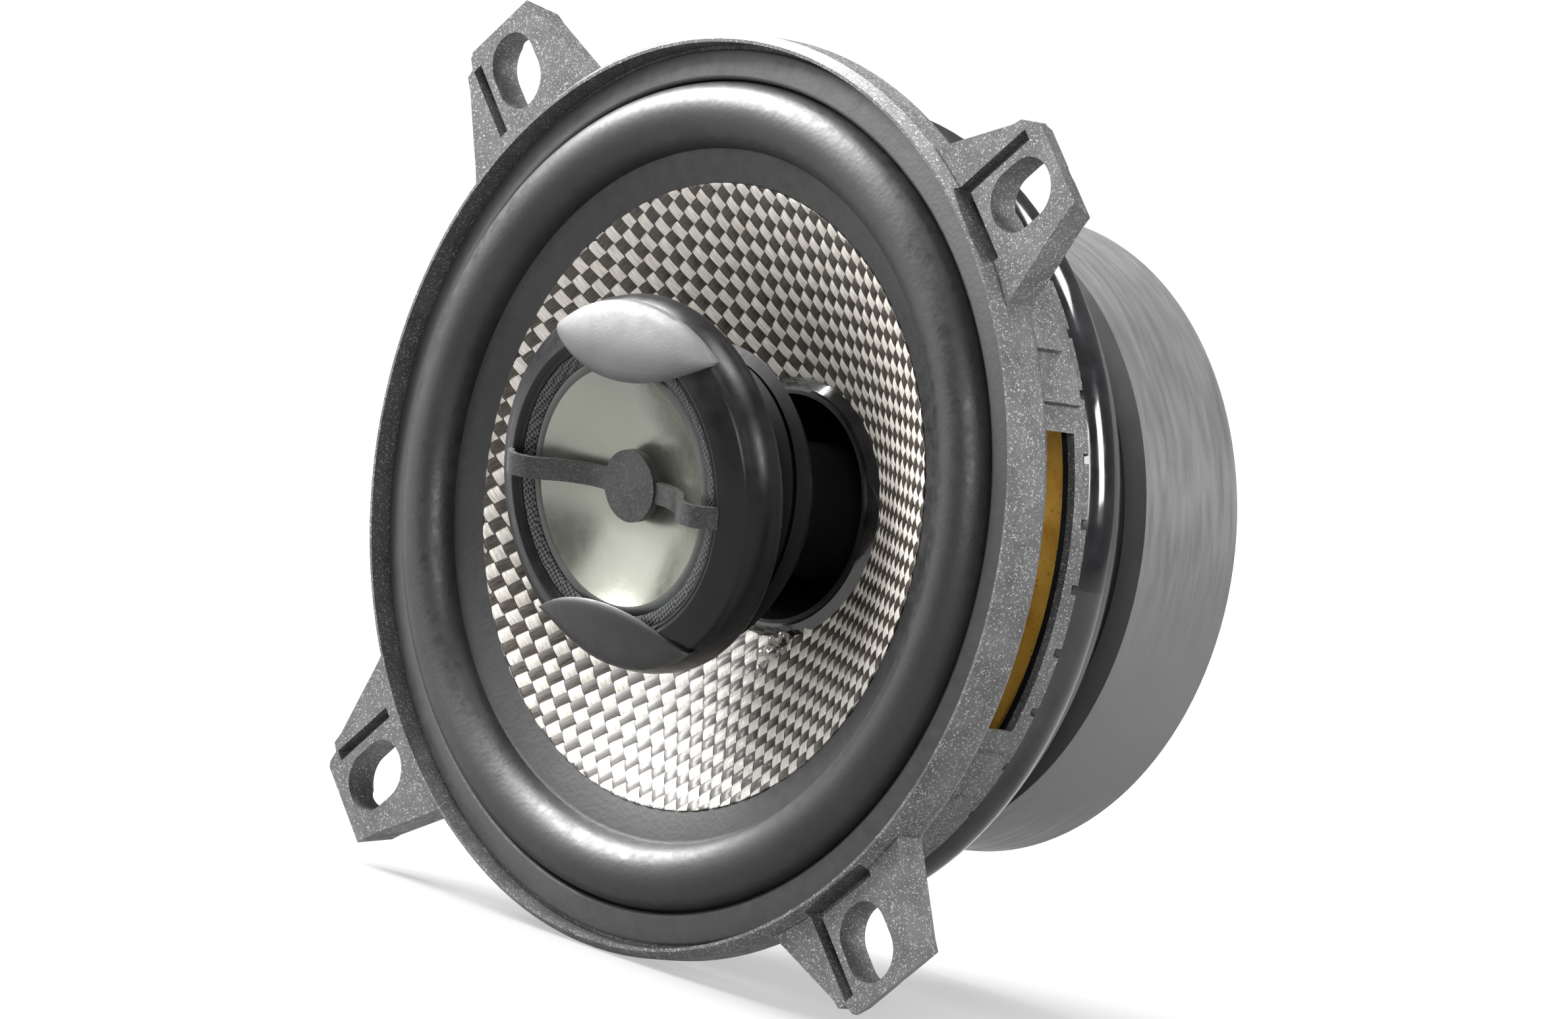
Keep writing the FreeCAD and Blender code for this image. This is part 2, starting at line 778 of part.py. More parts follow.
def dome():
    body = new_body("inverted_dome", tilted=True)
    edge = "ring_inner-0.02"
    revolved(body, "dome", [
        ("0", "dome_depth"),
        ("1.2", "dome_depth"),
        (edge, "-0.35", "7.0", "dome_depth-0.97"),
        (edge, "dome_thick-0.35"),
        ("1.2", "dome_depth+dome_thick", "7.0", "dome_depth-0.97+dome_thick"),
        ("0", "dome_depth+dome_thick"),
    ])


def dome_ring():
    simple_ring("dome_clamp_ring", "ring_inner", "ring_outer", "-0.45", "0.15", tilted=True)


def tweeter_motor():
    simple_ring("tweeter_voice_coil", "voice_inner", "voice_outer", "1.75", "5.6", tilted=True)
    plate = new_body("tweeter_pole_disc", tilted=True)
    revolved(plate, "disc", [("0", "4.5"), ("9.3", "4.5"), ("9.3", "5.8"), ("0", "5.8")])
    core = new_body("tweeter_magnet", tilted=True)
    revolved(core, "disc", [("0", "5.8"), ("8.6", "5.8"), ("8.6", "7.6"), ("0", "7.6")])
    cup = new_body("tweeter_yoke_cup", tilted=True)
    revolved(cup, "cup", [
        ("10.9", "3.6"),
        ("12.2", "3.6"),
        ("12.2", "6.9"),
        ("10.6", "8.9"),
        ("0", "8.9"),
        ("0", "7.6"),
        ("10.9", "7.6"),
    ])
    simple_ring("tweeter_chassis_ring", "12.2", "bezel_bore-0.05", "3.4", "5.0", tilted=True)


# ---------------------------------------------------------------- wiring
def radial_solid(label, boxes):
    """Fused boxes given in the terminal's own frame: x outwards, y depth, z sideways."""
    feature = doc.addObject("Part::Feature", label)
    feature.Label = label
    solid = None
    for x0, x1, y0, y1, z0, z1 in boxes:
        piece = Part.makeBox(x1 - x0, y1 - y0, z1 - z0, V(x0, y0, z0))
        solid = piece if solid is None else solid.fuse(piece)
    feature.Shape = solid.removeSplitter()
    turn = FreeCAD.Rotation(V(0, 1, 0), -TERMINAL_ANGLE)
    feature.Placement = FreeCAD.Placement(V(0, 0, 0), turn)
    PARTS.append(feature)
    return feature


def terminals():
    """Board through the lower window, with a wide positive and a narrow negative lug."""
    radial_solid("terminal_board", [(35.5, 45.5, 8.8, 10.2, -5.8, 5.8)])
    for label, z0, z1 in (("positive_terminal", 0.4, 5.2), ("negative_terminal", -4.4, -1.6)):
        radial_solid(label, [
            (36.8, 46.4, 8.0, 8.8, z0, z1),
            (45.6, 46.4, 8.0, 19.0, z0, z1),
        ])


def tube(label, points, radius):
    """Round lead along straight runs joined by tangent arcs."""
    feature = doc.addObject("Part::Feature", label)
    feature.Label = label
    corners = [V(*p) for p in points]
    edges = []
    here = corners[0]
    radii = []
    for i in range(1, len(corners) - 1):
        before = (corners[i] - corners[i - 1])
        after = (corners[i + 1] - corners[i])
        run = min(before.Length, after.Length)
        bend = before.getAngle(after)
        reach = 0.45 * run
        arc_radius = reach / math.tan(bend / 2)
        radii.append(round(arc_radius, 2))
        inward = V(before).normalize()
        outward = V(after).normalize()
        start = corners[i] - inward * reach
        stop = corners[i] + outward * reach
        half = (outward - inward).normalize()
        middle = corners[i] + half * (arc_radius / math.cos(bend / 2) - arc_radius)
        edges.append(Part.LineSegment(here, start).toShape())
        edges.append(Part.Arc(start, middle, stop).toShape())
        here = stop
    edges.append(Part.LineSegment(here, corners[-1]).toShape())
    wire = Part.Wire(edges)
    first = V(corners[1] - corners[0]).normalize()
    profile = Part.Wire([Part.makeCircle(radius, corners[0], first)])
    feature.Shape = wire.makePipeShell([profile], True, True)
    ideal = math.pi * radius ** 2 * wire.Length
    print(label, "arc radii", radii, "length %.1f" % wire.Length,
          "volume ratio %.3f" % (feature.Shape.Volume / ideal))
    PARTS.append(feature)
    return wire.Length


def polar_point(radius, depth, angle, shift=0.0):
    """Row-frame point at a radius, depth and angle, shifted sideways."""
    a = math.radians(angle)
    return (radius * math.cos(a) - shift * math.sin(a), depth, radius * math.sin(a) + shift * math.cos(a))


def at_terminal(x, depth, shift):
    """Point in the terminal's frame: outwards, depth, sideways."""
    return polar_point(x, depth, TERMINAL_ANGLE, shift)


def tinsel_leads():
    """Limp braided leads from the lugs' inner ends to the cone, in front of the spider."""
    for label, shift, eyelet in (
        ("tinsel_lead_positive", 2.8, EYELETS[1]),
        ("tinsel_lead_negative", -3.0, EYELETS[0]),
    ):
        near = 0.5 * (TERMINAL_ANGLE + eyelet)
        tube(label, [
            at_terminal(36.7, 8.3, shift),
            at_terminal(32.6, 8.1, shift),
            polar_point(27.0, 11.9, near, 0.0),
            polar_point(21.4, 12.1, eyelet, 0.0),
            polar_point(17.4, 11.3, eyelet, 0.0),
        ], 0.4)


def lead_glue():
    """Glue dots on the front of the cone where the leads are fixed."""
    feature = doc.addObject("Part::Feature", "lead_glue_dots")
    feature.Label = "lead_glue_dots"
    shapes = dict((p.Label, p.Shape) for p in PARTS)
    dots = []
    for angle in EYELETS:
        ball = Part.makeSphere(1.5, V(*polar_point(16.3, 10.15, angle)))
        pieces = ball.cut(shapes["woven_cone"]).cut(shapes["neck_glue_ring"]).Solids
        dots.append(sorted(pieces, key=lambda solid: solid.CenterOfMass.y)[0])
    feature.Shape = Part.makeCompound(dots)
    PARTS.append(feature)


def tweeter_wires():
    """Pair that runs down the post and pole and out along the channel in the back plate."""
    radius = SIZES["wire_radius"]
    bore = SIZES["wire_circle"]
    tube("tweeter_wire_positive", [
        (bore, 1.4, 0.0),
        (bore, 49.3, 0.0),
        at_terminal(8.6, 49.3, 0.75),
        at_terminal(39.94, 49.3, 0.75),
        at_terminal(39.94, 43.27, 0.0),
    ], radius)
    tube("tweeter_wire_negative", [
        (-bore, 1.4, 0.0),
        (-bore, 49.3, 0.0),
        at_terminal(8.6, 49.3, -0.75),
        at_terminal(34.6, 49.3, -0.75),
        at_terminal(41.0, 48.0, -5.6),
        at_terminal(41.0, 29.0, -5.6),
        at_terminal(46.0, 25.0, -3.0),
        at_terminal(46.0, 19.0, -3.0),
    ], radius)
    tube("capacitor_lead", [
        at_terminal(39.94, 31.74, 0.0),
        at_terminal(40.2, 27.6, 0.3),
        at_terminal(46.0, 24.6, 2.8),
        at_terminal(46.0, 19.0, 2.8),
    ], radius)


def crossover():
    """Axial capacitor lying along the side of the magnet."""
    feature = doc.addObject("Part::Feature", "crossover_capacitor")
    feature.Label = "crossover_capacitor"
    can = Part.makeCylinder(3.4, 11.4, V(*at_terminal(39.94, 31.8, 0.0)), V(0, 1, 0))
    rims = [edge for edge in can.Edges if edge.Closed and edge.Length > 20]
    feature.Shape = can.makeFillet(0.6, rims)
    PARTS.append(feature)


# ---------------------------------------------------------------- assembly
front_basket()
rear_pan()
spider_ring()
front_plate()
chassis_rivets()
simple_ring("ferrite_magnet", "magnet_bore", "magnet_radius", "plate_rear", "magnet_rear")
back_yoke()
simple_ring("front_gasket", "gasket_inner", "gasket_outer", "gasket_front", "gasket_front+gasket_thick")
surround()
cone()
simple_ring("voice_coil_former", "former_inner", "former_outer", "former_front", "former_rear")
simple_ring("voice_coil_winding", "former_outer", "coil_outer", "coil_front", "coil_rear")
neck = new_body("neck_glue_ring")
revolved(neck, "bead", [
    ("former_outer", "11.0"),
    ("13.4", "11.0"),
    ("14.5", "11.65"),
    ("14.0", "12.1"),
    ("former_outer", "12.1"),
])
spider()
post()
socket()
liner()
clamp_washer()
centre_bolt()
centre_nut()
bezel()
ball()
visor("upper_visor", 1)
visor("lower_visor", -1)
bridge()
tweeter_suspension()
dome()
dome_ring()
tweeter_motor()
doc.recompute()
terminals()
tinsel_leads()
lead_glue()
tweeter_wires()
crossover()
doc.recompute()

# ---------------------------------------------------------------- checks and export
problems = []
for item in doc.Objects:
    if any(flag in item.State for flag in ("Invalid", "Error")):
        problems.append("%s: %s" % (item.Name, item.State))
for item in PARTS:
    if item.Shape.isNull() or not item.Shape.isValid():
        problems.append("%s has no valid shape" % item.Label)
if problems:
    raise RuntimeError("; ".join(problems))

os.makedirs("parts", exist_ok=True)
for item in PARTS:
    item.Shape.exportStep("parts/%s.step" % item.Label)
    box = item.Shape.BoundBox
    print("%-26s solids %d  volume %9.1f  y %.2f to %.2f" % (
        item.Label, len(item.Shape.Solids), item.Shape.Volume, box.YMin, box.YMax))
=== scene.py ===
"""Looks of the coaxial car speaker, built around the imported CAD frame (Blender 4.5)."""
import bpy
import math
import random
from mathutils import Matrix, Vector


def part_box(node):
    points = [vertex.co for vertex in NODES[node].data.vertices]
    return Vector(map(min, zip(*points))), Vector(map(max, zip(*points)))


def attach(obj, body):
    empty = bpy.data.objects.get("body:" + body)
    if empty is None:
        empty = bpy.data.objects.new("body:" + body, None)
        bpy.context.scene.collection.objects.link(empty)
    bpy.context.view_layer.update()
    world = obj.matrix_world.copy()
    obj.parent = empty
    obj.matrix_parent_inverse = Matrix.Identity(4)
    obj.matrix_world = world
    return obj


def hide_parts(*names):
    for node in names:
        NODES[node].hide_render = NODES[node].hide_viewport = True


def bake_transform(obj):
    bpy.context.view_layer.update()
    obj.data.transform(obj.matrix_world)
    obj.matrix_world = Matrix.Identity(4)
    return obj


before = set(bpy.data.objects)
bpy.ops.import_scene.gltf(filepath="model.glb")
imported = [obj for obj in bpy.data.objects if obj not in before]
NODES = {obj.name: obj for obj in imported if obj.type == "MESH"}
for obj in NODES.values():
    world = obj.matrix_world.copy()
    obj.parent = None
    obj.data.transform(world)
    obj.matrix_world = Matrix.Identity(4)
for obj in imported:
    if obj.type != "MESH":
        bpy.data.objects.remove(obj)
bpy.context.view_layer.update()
random.seed(11)

MM = 0.001
CHASSIS = "chassis"
WOOFER = "woofer_diaphragm"
CAPSULE = "tweeter_capsule"
DOME = "tweeter_diaphragm"
PIVOT_Y = -13.56
REST_TILT = 10.3
TILT = Matrix.Translation((0, PIVOT_Y * MM, 0)) @ Matrix.Rotation(math.radians(REST_TILT), 4, "X")

FLOOR_REACH = 6.0
FLOOR_TONE = 0.12
FLOOR_BOUNCE = 0.30        # glow of the floor for every ray but the camera's
FLOOR_SEEN = (0.48, 1.0)   # glow that the camera sees, near the speaker and far from it
FLOOR_FADE = (0.08, 0.50)  # distances from the origin for those two, in metres
WORLD_LIGHT = 0.12         # the white world's strength for every ray but the camera's

SOFTBOXES = (  # name, place, aim, width, height, watts
    ("softbox_key", (-0.62, -0.18, 0.60), (0, 0, 0), 0.62, 0.62, 44),
    ("softbox_left", (-0.72, -0.68, 0.24), (0, 0, 0), 1.00, 0.60, 3.6),
    ("softbox_top", (0.20, 0.10, 0.85), (0, 0, 0), 0.40, 0.40, 7),
    ("softbox_right", (0.85, 0.25, 0.45), (0.02, 0.02, 0), 0.40, 0.40, 9),
    ("softbox_front", (0.75, -0.75, 0.40), (0.03, 0.01, 0), 0.40, 0.40, 6),
)


# ---------------------------------------------------------------- camera, floor, light
def camera():
    """Camera at the photograph's viewing angle; its axes and place are in the CAD frame."""
    data = bpy.data.cameras.new("camera")
    data.lens = 198.79
    data.sensor_width = 36.0
    data.sensor_fit = "HORIZONTAL"
    data.clip_end = 20.0
    cam = bpy.data.objects.new("camera", data)
    right = Vector((0.67733, 0.70809, 0.19958))
    down = Vector((0.19730, 0.08651, -0.97652))
    look = Vector((-0.70873, 0.70080, -0.08112))
    rotation = Matrix((right, -down, -look)).transposed().to_4x4()
    cam.matrix_world = Matrix.Translation((0.68030, -0.66135, 0.07755)) @ rotation
    bpy.context.scene.collection.objects.link(cam)
    bpy.context.scene.camera = cam


def softbox(name, place, target, width, height, watts):
    data = bpy.data.lights.new(name, "AREA")
    data.shape = "RECTANGLE"
    data.size = width
    data.size_y = height
    data.energy = watts
    lamp = bpy.data.objects.new(name, data)
    aim = Vector(target) - Vector(place)
    lamp.matrix_world = Matrix.Translation(place) @ aim.to_track_quat("-Z", "Y").to_matrix().to_4x4()
    bpy.context.scene.collection.objects.link(lamp)


def studio():
    mesh = bpy.data.meshes.new("floor")
    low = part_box("front_basket")[0].z
    corners = [(x * FLOOR_REACH, y * FLOOR_REACH, low) for x, y in ((-1, -1), (1, -1), (1, 1), (-1, 1))]
    mesh.from_pydata(corners, [], [(0, 1, 2, 3)])
    floor = bpy.data.objects.new("floor", mesh)
    bpy.context.scene.collection.objects.link(floor)
    m = Shader("floor_white")
    m.base((FLOOR_TONE,) * 3)
    m.set("Roughness", 0.9)
    m.set("Emission Color", (1, 1, 1, 1))
    seen = m.node("ShaderNodeLightPath").outputs["Is Camera Ray"]
    away = m.node("ShaderNodeVectorMath", operation="LENGTH")
    m.link(m.coords, away.inputs[0])
    glow = m.span(away.outputs["Value"], *FLOOR_FADE, *FLOOR_SEEN)
    emission = m.math("MULTIPLY_ADD", m.math("SUBTRACT", glow, FLOOR_BOUNCE), seen, FLOOR_BOUNCE)
    m.link(emission, m.shader.inputs["Emission Strength"])
    floor.data.materials.append(m.material)
    world = bpy.data.worlds.new("world")
    bpy.context.scene.world = world
    world.use_nodes = True
    tree = world.node_tree
    rays = tree.nodes.new("ShaderNodeLightPath")
    strength = tree.nodes.new("ShaderNodeMapRange")
    strength.inputs["To Min"].default_value = WORLD_LIGHT
    strength.inputs["To Max"].default_value = 1.0
    tree.links.new(rays.outputs["Is Camera Ray"], strength.inputs["Value"])
    tree.links.new(strength.outputs["Result"], tree.nodes["Background"].inputs["Strength"])
    tree.nodes["Background"].inputs["Color"].default_value = (1, 1, 1, 1)
    for settings in SOFTBOXES:
        softbox(*settings)
    bpy.context.scene.view_settings.view_transform = "Standard"


# ---------------------------------------------------------------- shader building
class Shader:
    """Small wrapper that grows a Principled material from noise, masks and bump."""

    def __init__(self, name):
        self.material = bpy.data.materials.new(name)
        self.material.use_nodes = True
        self.tree = self.material.node_tree
        self.shader = self.tree.nodes["Principled BSDF"]
        self.coords = self.node("ShaderNodeTexCoord").outputs["Object"]
        self.last_bump = None

    def node(self, kind, **settings):
        made = self.tree.nodes.new(kind)
        for key, value in settings.items():
            setattr(made, key, value)
        return made

    def link(self, source, target):
        self.tree.links.new(source, target)

    def set(self, socket, value):
        self.shader.inputs[socket].default_value = value

    def base(self, color):
        self.set("Base Color", (*color, 1))

    def noise(self, scale, detail=3.0, rough=0.55, stretch=(1, 1, 1), vector=None):
        """Noise with `scale` features per metre."""
        mapping = self.node("ShaderNodeMapping")
        mapping.inputs["Scale"].default_value = stretch
        self.link(vector or self.coords, mapping.inputs["Vector"])
        made = self.node("ShaderNodeTexNoise")
        made.inputs["Scale"].default_value = scale
        made.inputs["Detail"].default_value = detail
        made.inputs["Roughness"].default_value = rough
        self.link(mapping.outputs["Vector"], made.inputs["Vector"])
        return made.outputs["Fac"]

    def cells(self, scale, output="Distance"):
        """Voronoi cells, `scale` of them per metre."""
        made = self.node("ShaderNodeTexVoronoi")
        made.inputs["Scale"].default_value = scale
        self.link(self.coords, made.inputs["Vector"])
        return made.outputs[output]

    def attribute(self, name):
        return self.node("ShaderNodeAttribute", attribute_name=name).outputs["Fac"]

    def span(self, source, low, high, out_low=0.0, out_high=1.0):
        """`source` stretched from low..high to out_low..out_high, and held there outside."""
        made = self.node("ShaderNodeMapRange")
        sockets = ("From Min", "From Max", "To Min", "To Max")
        for socket, value in zip(sockets, (low, high, out_low, out_high)):
            made.inputs[socket].default_value = value
        self.link(source, made.inputs["Value"])
        return made.outputs["Result"]

    def math(self, operation, a, b, c=0.0):
        made = self.node("ShaderNodeMath", operation=operation)
        for index, value in enumerate((a, b, c)):
            if isinstance(value, (int, float)):
                made.inputs[index].default_value = value
            else:
                self.link(value, made.inputs[index])
        return made.outputs["Value"]

    def mix(self, factor, a, b):
        made = self.node("ShaderNodeMix", data_type="RGBA")
        for index, value in ((0, factor), (6, a), (7, b)):
            if isinstance(value, tuple):
                made.inputs[index].default_value = (*value, 1)
            else:
                self.link(value, made.inputs[index])
        return made.outputs[2]

    def color(self, source):
        self.link(source, self.shader.inputs["Base Color"])

    def rough(self, source):
        self.link(source, self.shader.inputs["Roughness"])

    def bump(self, height, strength, distance_mm):
        """Bump from `height`, on top of the bump before it."""
        made = self.node("ShaderNodeBump")
        made.inputs["Strength"].default_value = strength
        made.inputs["Distance"].default_value = distance_mm * MM
        self.link(height, made.inputs["Height"])
        if self.last_bump:
            self.link(self.last_bump, made.inputs["Normal"])
        self.last_bump = made.outputs["Normal"]
        self.link(self.last_bump, self.shader.inputs["Normal"])


def metallic_paint(name, base=0.098, fleck=0.38, fleck_share=0.22, rough=0.45, size=7200.0):
    """Dark grey paint with a sandy texture and bright flecks."""
    m = Shader(name)
    tone = m.span(m.noise(260, 4), 0.3, 0.7)
    ground = m.mix(tone, (base * 0.72,) * 3, (base * 1.25, base * 1.25, base * 1.3))
    speck = m.cells(size, output="Color")
    value = m.node("ShaderNodeSeparateColor")
    m.link(speck, value.inputs["Color"])
    bright = m.span(value.outputs[0], 1.0 - fleck_share, 1.0)
    m.color(m.mix(m.math("POWER", bright, 1.6), ground, (fleck, fleck, fleck * 0.98)))
    m.set("Metallic", 0.35)
    m.rough(m.span(m.noise(900, 3), 0.3, 0.7, rough - 0.08, rough + 0.12))
    m.bump(m.noise(3200, 2), 0.45, 0.05)
    m.bump(value.outputs[1], 0.25, 0.015)
    return m.material


def rubber(name, tone, rough, grain=1500.0, strength=0.3, specular=0.4):
    """Rubber or resin with a fine pebbled grain and patches of dust."""
    m = Shader(name)
    dust = m.span(m.noise(120, 5), 0.35, 0.75)
    m.color(m.mix(dust, (tone, tone, tone), (tone * 1.9, tone * 1.9, tone * 2.0)))
    m.rough(m.span(m.noise(700, 3), 0.3, 0.7, rough - 0.07, rough + 0.1))
    m.set("Specular IOR Level", specular)
    m.bump(m.cells(grain), strength, 0.035)
    m.bump(m.noise(grain * 1.8, 3), strength * 0.6, 0.02)
    return m.material


def plastic(name, color, rough, metal=0.0, grain=2200.0, strength=0.12, specular=0.5):
    """Moulded plastic whose colour wanders by a quarter each way."""
    wear = 0.25
    m = Shader(name)
    tone = m.span(m.noise(90, 4), 0.3, 0.7)
    low = tuple(c * (1 - wear) for c in color)
    high = tuple(min(1.0, c * (1 + wear)) for c in color)
    m.color(m.mix(tone, low, high))
    m.set("Metallic", metal)
    m.set("Specular IOR Level", specular)
    m.rough(m.span(m.noise(500, 3), 0.3, 0.7, rough - 0.06, rough + 0.08))
    m.bump(m.noise(grain, 2), strength, 0.03)
    return m.material


def turned_metal(name, tone, rough=0.32, metal=0.9, stretch=(1, 26, 1), streak=0.35):
    """Metal with machining marks: `stretch` is larger across the marks."""
    m = Shader(name)
    lines = m.noise(380, 4, 0.6, stretch)
    cloud = m.noise(60, 4)
    mixed = m.math("MULTIPLY_ADD", lines, 0.55, m.math("MULTIPLY", cloud, 0.45))
    m.color(m.mix(m.span(mixed, 0.3, 0.7), (tone * (1 - streak),) * 3, (tone * (1 + streak),) * 3))
    m.set("Metallic", metal)
    m.rough(m.span(lines, 0.3, 0.7, rough - 0.08, rough + 0.12))
    m.bump(lines, 0.15, 0.02)
    return m.material


def gloss_black(name):
    """Thick glossy enamel, slightly uneven."""
    m = Shader(name)
    m.color(m.mix(m.span(m.noise(150, 4), 0.4, 0.7), (0.006, 0.006, 0.007), (0.02, 0.02, 0.022)))
    m.rough(m.span(m.noise(420, 4), 0.3, 0.7, 0.08, 0.22))
    m.set("Coat Weight", 0.6)
    m.set("Coat Roughness", 0.06)
    m.bump(m.noise(210, 2), 0.12, 0.12)
    return m.material


def cloth_amber(name):
    """Resin-soaked amber cloth with the dark holes of its weave."""
    m = Shader(name)
    weave = m.node("ShaderNodeTexChecker")
    weave.inputs["Scale"].default_value = 1500
    m.link(m.coords, weave.inputs["Vector"])
    dots = m.span(m.cells(1150), 0.0, 0.25, 1.0, 0.0)
    warm = m.mix(m.span(m.noise(240, 3), 0.3, 0.7), (0.62, 0.30, 0.03), (0.92, 0.53, 0.09))
    m.color(m.mix(m.math("MULTIPLY", dots, 0.75), warm, (0.12, 0.055, 0.015)))
    m.set("Roughness", 0.6)
    m.bump(weave.outputs["Fac"], 0.3, 0.05)
    return m.material


# ---------------------------------------------------------------- mesh building
def add_mesh(name, verts, faces, material, body, matrix=None, sharp=35.0):
    """Smooth-shaded piece from points in mm; with `body` None the piece stays unattached."""
    mesh = bpy.data.meshes.new(name)
    mesh.from_pydata([tuple(c * MM for c in v) for v in verts], [], faces)
    if matrix is not None:
        mesh.transform(matrix)
    mesh.materials.append(material)
    mesh.validate()
    piece = bpy.data.objects.new(name, mesh)
    bpy.context.scene.collection.objects.link(piece)
    mesh.polygons.foreach_set("use_smooth", [True] * len(mesh.polygons))
    mesh.set_sharp_from_angle(angle=math.radians(sharp))
    if body:
        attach(piece, body)
    return piece


def arc(p0, p1, through, count):
    """Points after p0 up to p1 on the circle through the three points."""
    ax, ay = p0
    bx, by = through
    cx, cy = p1
    d = 2 * (ax * (by - cy) + bx * (cy - ay) + cx * (ay - by))
    a2, b2, c2 = ax * ax + ay * ay, bx * bx + by * by, cx * cx + cy * cy
    ux = (a2 * (by - cy) + b2 * (cy - ay) + c2 * (ay - by)) / d
    uy = (a2 * (cx - bx) + b2 * (ax - cx) + c2 * (bx - ax)) / d
    radius = math.hypot(ax - ux, ay - uy)
    start = math.atan2(ay - uy, ax - ux)
    middle = (math.atan2(by - uy, bx - ux) - start) % math.tau
    sweep = (math.atan2(cy - uy, cx - ux) - start) % math.tau
    if middle > sweep:
        sweep -= math.tau
    turns = [start + sweep * k / count for k in range(1, count + 1)]
    return [(ux + radius * math.cos(turn), uy + radius * math.sin(turn)) for turn in turns]


def profile(*steps):
    """Steps are (r, y), or (r, y, r_mid, y_mid, count) for an arc up to (r, y)."""
    points = [steps[0]]
    for step in steps[1:]:
        if len(step) == 2:
            points.append(step)
        else:
            points += arc(points[-1], step[:2], step[2:4], step[4])
    return points


def lathe(name, points, material, body, tilted=False, segments=192):
    """Closed outline of (radius, y) points swept about Y; a point on the axis becomes a pole."""
    verts, faces, rows = [], [], []
    for radius, depth in points:
        if radius == 0:
            rows.append([len(verts)])
            verts.append((0, depth, 0))
            continue
        row = []
        for k in range(segments):
            a = math.tau * k / segments
            row.append(len(verts))
            verts.append((radius * math.cos(a), depth, radius * math.sin(a)))
        rows.append(row)
    for first, second in zip(rows, rows[1:] + rows[:1]):
        if len(first) == 1 and len(second) == 1:
            continue
        for k in range(segments):
            n = (k + 1) % segments
            if len(first) == 1:
                faces.append((first[0], second[n], second[k]))
            elif len(second) == 1:
                faces.append((first[k], first[n], second[0]))
            else:
                faces.append((first[k], first[n], second[n], second[k]))
    return add_mesh(name, verts, faces, material, body, TILT if tilted else None)


def radial_blend(piece):
    """Bakes the piece's placement into its mesh."""
    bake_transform(piece)


# ---------------------------------------------------------------- woofer cone and edge
def cone_depth(r):
    """Front surface of the cone: a parabola through three points from the edge to the neck."""
    (x0, y0), (x1, y1), (x2, y2) = (34.3, -1.7), (24.2, 4.8), (14.0, 12.2)
    a = (r - x1) * (r - x2) / ((x0 - x1) * (x0 - x2))
    b = (r - x0) * (r - x2) / ((x1 - x0) * (x1 - x2))
    c = (r - x0) * (r - x1) / ((x2 - x0) * (x2 - x1))
    return a * y0 + b * y1 + c * y2


def tow_material():
    """Pale and dark tows, with strands drawn along each from the mesh's attributes."""
    m = Shader("woven_tows")
    dark = m.attribute("tow_dark")
    shade = m.attribute("tow_shade")
    across = m.attribute("tow_across")
    along = m.attribute("tow_along")
    strands = m.node("ShaderNodeCombineXYZ")
    m.link(m.math("MULTIPLY", across, 9.0), strands.inputs["X"])
    m.link(m.math("MULTIPLY", along, 0.7), strands.inputs["Y"])
    m.link(m.math("MULTIPLY", shade, 40.0), strands.inputs["Z"])
    fibre = m.noise(1.0, 4, 0.6, vector=strands.outputs["Vector"])
    pale = m.mix(m.span(fibre, 0.32, 0.68), (0.42, 0.38, 0.32), (0.93, 0.91, 0.86))
    pale = m.mix(m.math("MULTIPLY", shade, 0.30), pale, (0.62, 0.57, 0.49))
    deep = m.mix(m.span(fibre, 0.35, 0.72), (0.012, 0.009, 0.007), (0.10, 0.08, 0.06))
    m.color(m.mix(dark, pale, deep))
    m.rough(m.span(fibre, 0.3, 0.7, 0.32, 0.6))
    m.set("Coat Weight", 0.2)
    m.set("Coat Roughness", 0.15)
    m.bump(fibre, 0.5, 0.06)
    return m.material


